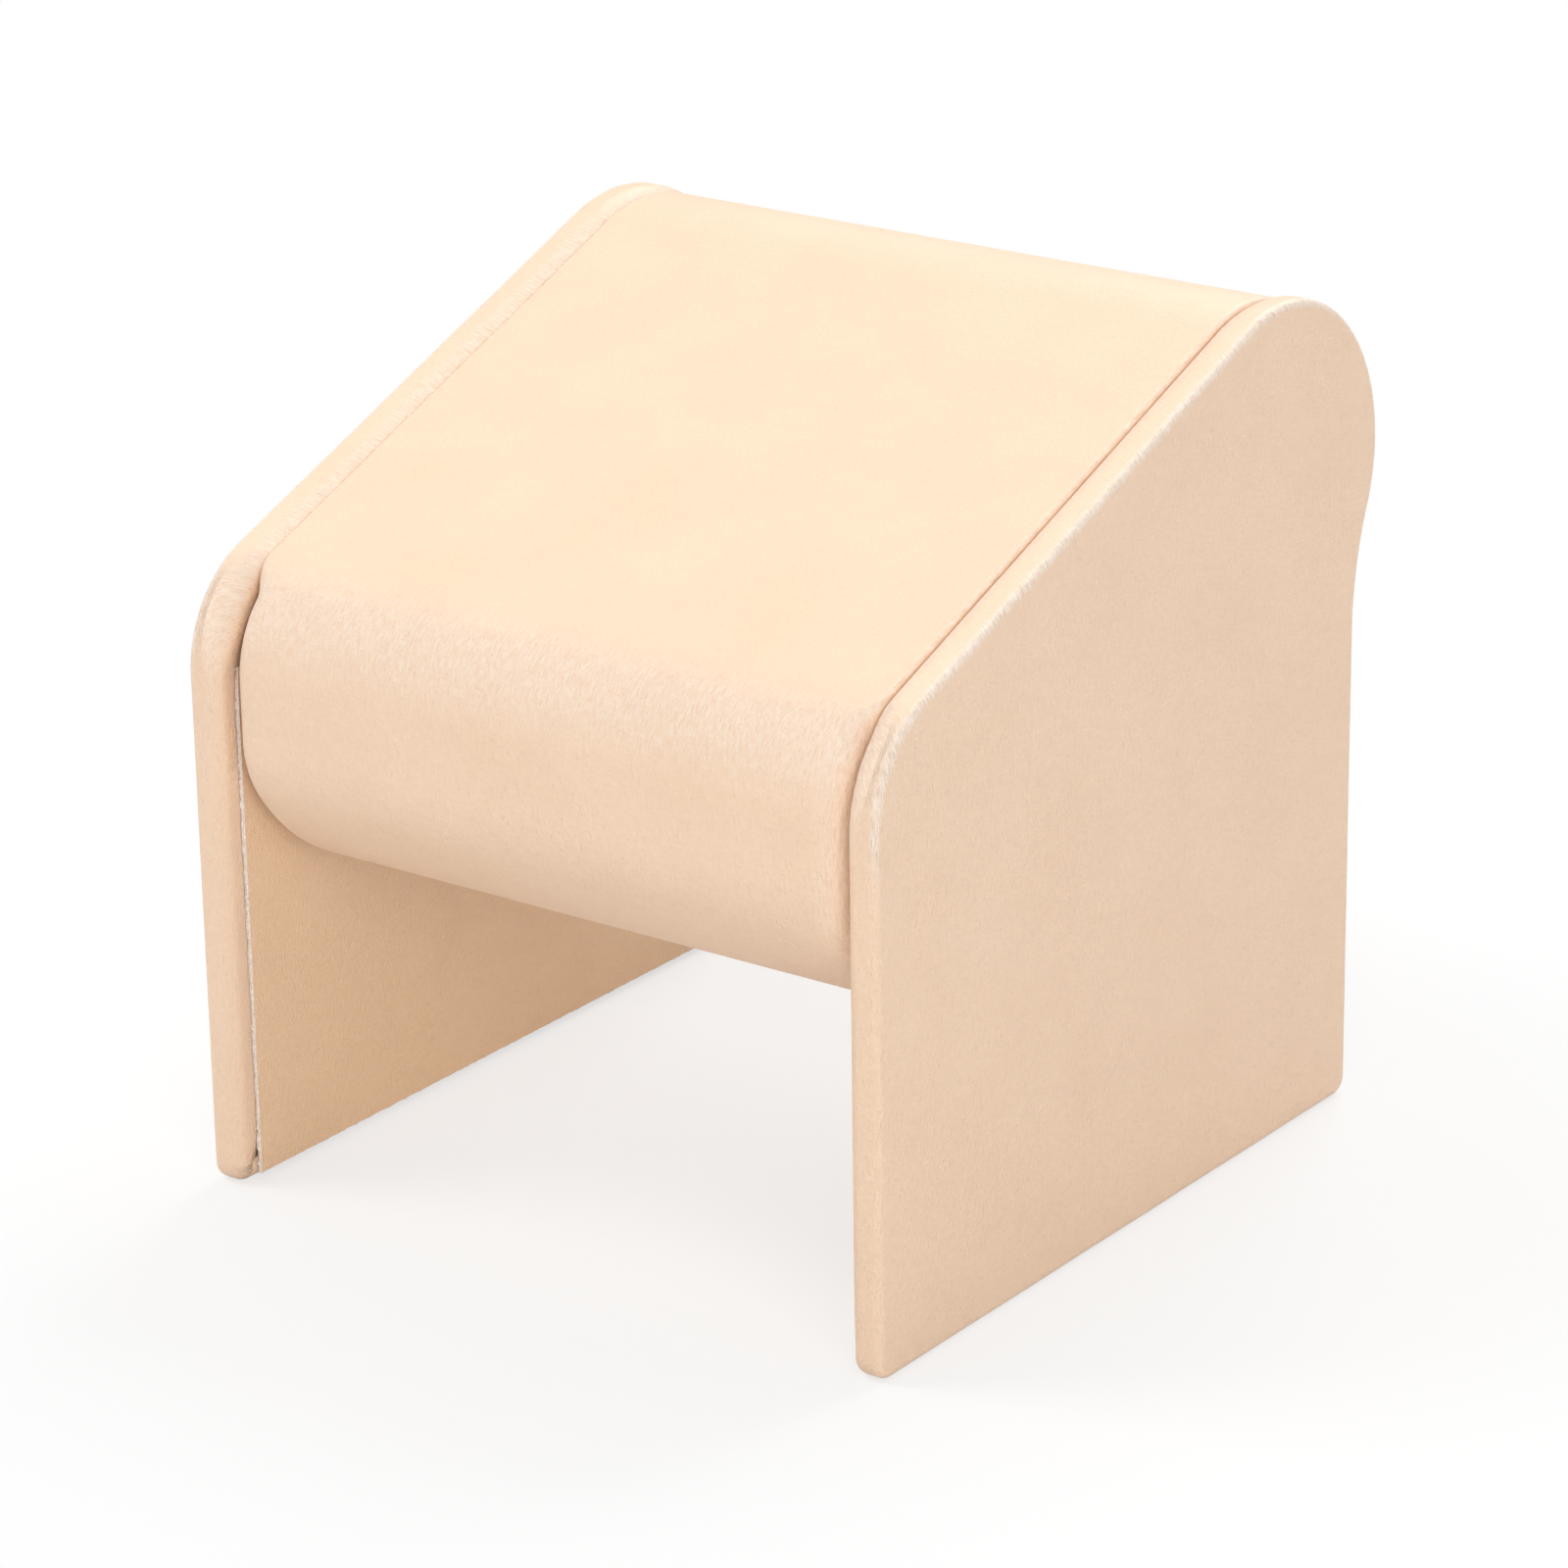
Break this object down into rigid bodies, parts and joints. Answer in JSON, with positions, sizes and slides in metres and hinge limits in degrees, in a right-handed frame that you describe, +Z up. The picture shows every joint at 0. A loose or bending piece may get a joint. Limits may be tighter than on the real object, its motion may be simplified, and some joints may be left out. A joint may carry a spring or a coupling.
{
  "type": "watch stand",
  "caption": "Counter stand for a watch: a leatherette-wrapped bolster with a sloping top, held between two wrapped side panels that form the legs.",
  "frame": {"origin": "middle of the footprint, on the surface that the stand rests on", "axes": "+Z up, -Y the front with the low nose of the bolster, +X across to the right side panel seen from the front"},
  "size_m": [0.075, 0.0794, 0.08],
  "materials": {
    "cover": "satin cream leatherette with a fine brushed grain",
    "lining": "satin cream leatherette sheet with a fibrous off-white cut edge",
    "board": "dense pressed board, hidden inside the wrap",
    "core": "shaped wood-fibre block, hidden inside the wrap"
  },
  "bodies": {
    "root": {"left_panel_board": "board", "right_panel_board": "board", "left_panel_cover": "cover", "right_panel_cover": "cover", "left_panel_lining": "lining", "right_panel_lining": "lining", "bolster_core": "core", "bolster_cover": "cover"}
  },
  "joints": []
}
